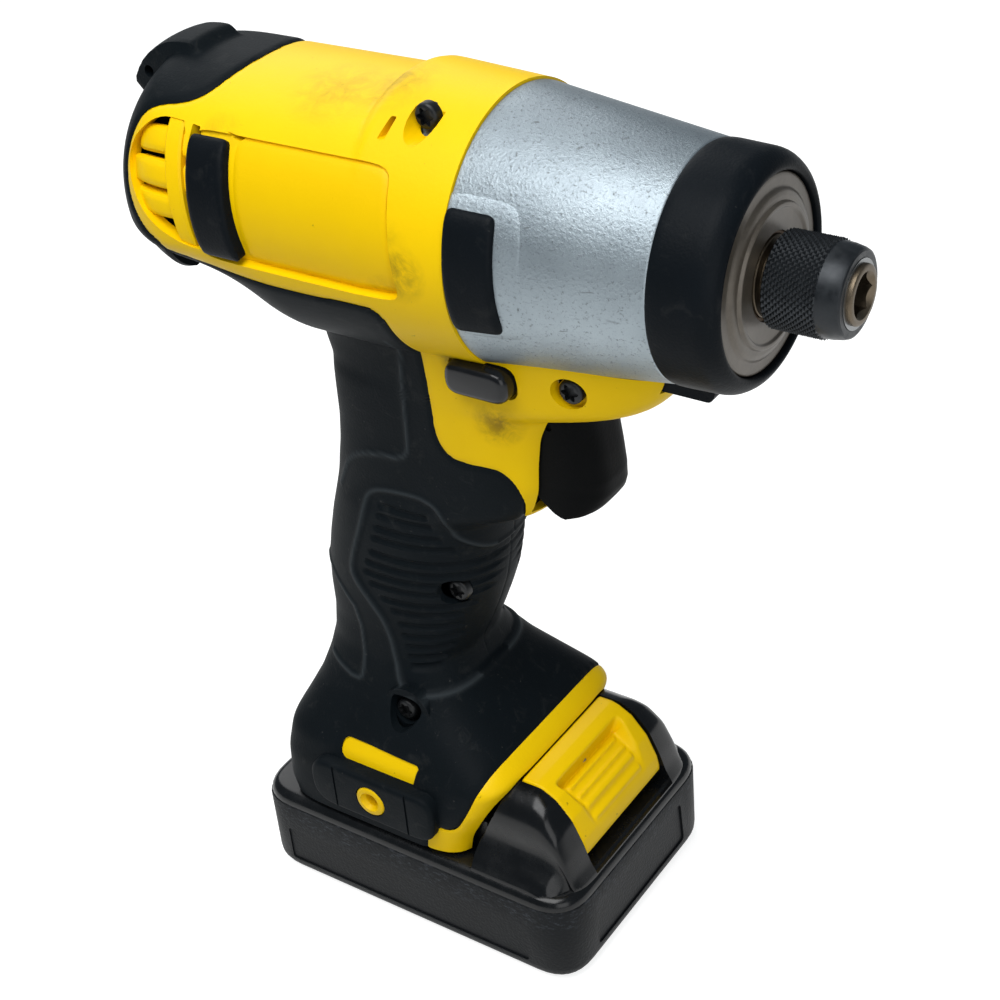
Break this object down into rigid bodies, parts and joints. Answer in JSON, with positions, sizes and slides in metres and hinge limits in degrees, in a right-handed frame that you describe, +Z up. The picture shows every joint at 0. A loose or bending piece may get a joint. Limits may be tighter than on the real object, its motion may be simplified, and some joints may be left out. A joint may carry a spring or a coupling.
{
  "type": "impact driver",
  "caption": "Cordless impact driver: pistol grip, hammer gear case, quick-release sleeve for hexagon bits, trigger, direction bar and slide-on battery pack.",
  "frame": {"origin": "middle of the battery pack's base", "axes": "+X the way the bit points, +Y the tool's left side, +Z up along the handle"},
  "size_m": [0.1488, 0.0596, 0.1845],
  "materials": {
    "housing_yellow": "moulded yellow plastic with a fine spark texture",
    "grip_rubber": "matte black overmoulded rubber",
    "pad_rubber": "matte black rubber",
    "side_plate": "smooth bare panel",
    "screw_steel": "black oxide steel",
    "cast_aluminium": "sand-blasted casting",
    "light_window": "frosted ring",
    "board_green": "solder-masked board",
    "diode_clear": "clear cap",
    "bronze": "sintered bronze",
    "gear_steel": "hardened teeth",
    "plate_zinc": "die-cast plate",
    "bearing_steel": "ground rings",
    "can_steel": "zinc-plated can",
    "magnet_ferrite": "ferrite",
    "cap_plastic": "moulded cap",
    "carbon": "pressed carbon",
    "shaft_steel": "ground steel",
    "winding_copper": "copper and iron",
    "fan_plastic": "moulded fan",
    "drive_steel": "hardened steel",
    "ball_steel": "polished ball",
    "spring_steel": "drawn wire",
    "hammer_steel": "forged steel",
    "anvil_steel": "hardened steel with a tan bloom",
    "sleeve_black": "black oxide with a diamond knurl",
    "switch_plastic": "moulded switch",
    "trigger_plastic": "moulded trigger",
    "bar_plastic": "polished black",
    "socket_plastic": "yellow insert",
    "terminal_plastic": "moulded block",
    "contact_brass": "stamped contact",
    "tray_plastic": "textured black tray",
    "lid_plastic": "smooth black hood",
    "cell_wrap": "shrink-wrapped cell",
    "strap_nickel": "nickel strip",
    "latch_plastic": "yellow release button"
  },
  "bodies": {
    "tool": {"housing_right": "housing_yellow", "housing_left": "housing_yellow", "grip_right": "grip_rubber", "grip_left": "grip_rubber", "rear_bumper_right": "pad_rubber", "rear_bumper_left": "pad_rubber", "rear_pads": "pad_rubber", "front_pads": "pad_rubber", "side_plates": "side_plate", "housing_screws": "screw_steel", "gear_case": "cast_aluminium", "nose_boot": "pad_rubber", "light_window": "light_window", "light_board": "board_green", "light_diodes": "diode_clear", "anvil_bushing": "bronze", "ring_gear": "gear_steel", "gear_plate": "plate_zinc", "carrier_bearing": "bearing_steel", "motor_can": "can_steel", "motor_magnets": "magnet_ferrite", "motor_cap": "cap_plastic", "motor_brushes": "carbon", "switch_body": "switch_plastic", "trigger_spring": "spring_steel", "hook_sockets": "socket_plastic", "terminal_block": "terminal_plastic", "terminal_blades": "contact_brass"},
    "carrier": {"cam_shaft": "drive_steel", "planet_pins": "shaft_steel", "cam_balls": "ball_steel", "spring_washer": "shaft_steel", "hammer_spring": "spring_steel"},
    "planet_right": {"planet_gear_right": "gear_steel"},
    "planet_left": {"planet_gear_left": "gear_steel"},
    "rotor": {"rotor_shaft": "shaft_steel", "armature": "winding_copper", "commutator": "winding_copper", "motor_fan": "fan_plastic", "motor_pinion": "gear_steel"},
    "hammer": {"hammer": "hammer_steel"},
    "anvil": {"anvil": "anvil_steel", "sleeve_spring": "spring_steel", "sleeve_washer": "shaft_steel", "retaining_ring": "shaft_steel"},
    "sleeve": {"bit_sleeve": "sleeve_black"},
    "ball_upper": {"detent_ball_upper": "ball_steel"},
    "ball_lower": {"detent_ball_lower": "ball_steel"},
    "trigger": {"trigger": "trigger_plastic"},
    "direction_bar": {"direction_bar": "bar_plastic"},
    "pack": {"pack_tray": "tray_plastic", "pack_lid": "lid_plastic", "pack_cells": "cell_wrap", "pack_straps": "strap_nickel", "pack_contacts": "contact_brass", "pack_screws": "screw_steel", "latch_spring": "spring_steel"},
    "latch": {"release_latch": "latch_plastic"}
  },
  "joints": [
    {"name": "carrier_spin", "type": "hinge", "parent": "tool", "child": "carrier", "pos_m": [0, 0, 0.1577], "axis": [1, 0, 0], "continuous": true},
    {"name": "rotor_spin", "type": "hinge", "parent": "tool", "child": "rotor", "pos_m": [0, 0, 0.1577], "axis": [1, 0, 0], "continuous": true},
    {"name": "planet_right_spin", "type": "hinge", "parent": "carrier", "child": "planet_right", "pos_m": [0, -0.0105, 0.1577], "axis": [1, 0, 0], "continuous": true},
    {"name": "planet_left_spin", "type": "hinge", "parent": "carrier", "child": "planet_left", "pos_m": [0, 0.0105, 0.1577], "axis": [1, 0, 0], "continuous": true},
    {"name": "hammer_slide", "type": "slide", "parent": "carrier", "child": "hammer", "axis": [-1, 0, 0], "range_m": [0, 0.007], "stiffness_N_per_m": 1500, "deforming": ["hammer_spring"]},
    {"name": "anvil_spin", "type": "hinge", "parent": "tool", "child": "anvil", "pos_m": [0, 0, 0.1577], "axis": [1, 0, 0], "continuous": true},
    {"name": "sleeve_slide", "type": "slide", "parent": "anvil", "child": "sleeve", "axis": [1, 0, 0], "range_m": [0, 0.0034], "stiffness_N_per_m": 400, "deforming": ["sleeve_spring"]},
    {"name": "ball_upper_slide", "type": "slide", "parent": "anvil", "child": "ball_upper", "axis": [0, 0, 1], "range_m": [0, 0.00055]},
    {"name": "ball_lower_slide", "type": "slide", "parent": "anvil", "child": "ball_lower", "axis": [0, 0, -1], "range_m": [0, 0.00055]},
    {"name": "trigger_pull", "type": "slide", "parent": "tool", "child": "trigger", "axis": [-1, 0, 0], "range_m": [0, 0.006], "stiffness_N_per_m": 600, "deforming": ["trigger_spring"]},
    {"name": "direction_shift", "type": "slide", "parent": "tool", "child": "direction_bar", "axis": [0, 1, 0], "range_m": [-0.0025, 0.0025]},
    {"name": "pack_slide", "type": "slide", "parent": "tool", "child": "pack", "axis": [1, 0, 0], "range_m": [0, 0.085]},
    {"name": "latch_press", "type": "slide", "parent": "pack", "child": "latch", "axis": [0, 0, -1], "range_m": [0, 0.003], "stiffness_N_per_m": 500, "deforming": ["latch_spring"]}
  ],
  "couplings": [
    {"joint": "rotor_spin", "follows": "carrier_spin", "ratio": 6},
    {"joint": "planet_right_spin", "follows": "carrier_spin", "ratio": -2.5},
    {"joint": "planet_left_spin", "follows": "carrier_spin", "ratio": -2.5},
    {"joint": "anvil_spin", "follows": "carrier_spin", "ratio": 1},
    {"joint": "ball_upper_slide", "follows": "sleeve_slide", "ratio": 0.16},
    {"joint": "ball_lower_slide", "follows": "sleeve_slide", "ratio": 0.16}
  ]
}
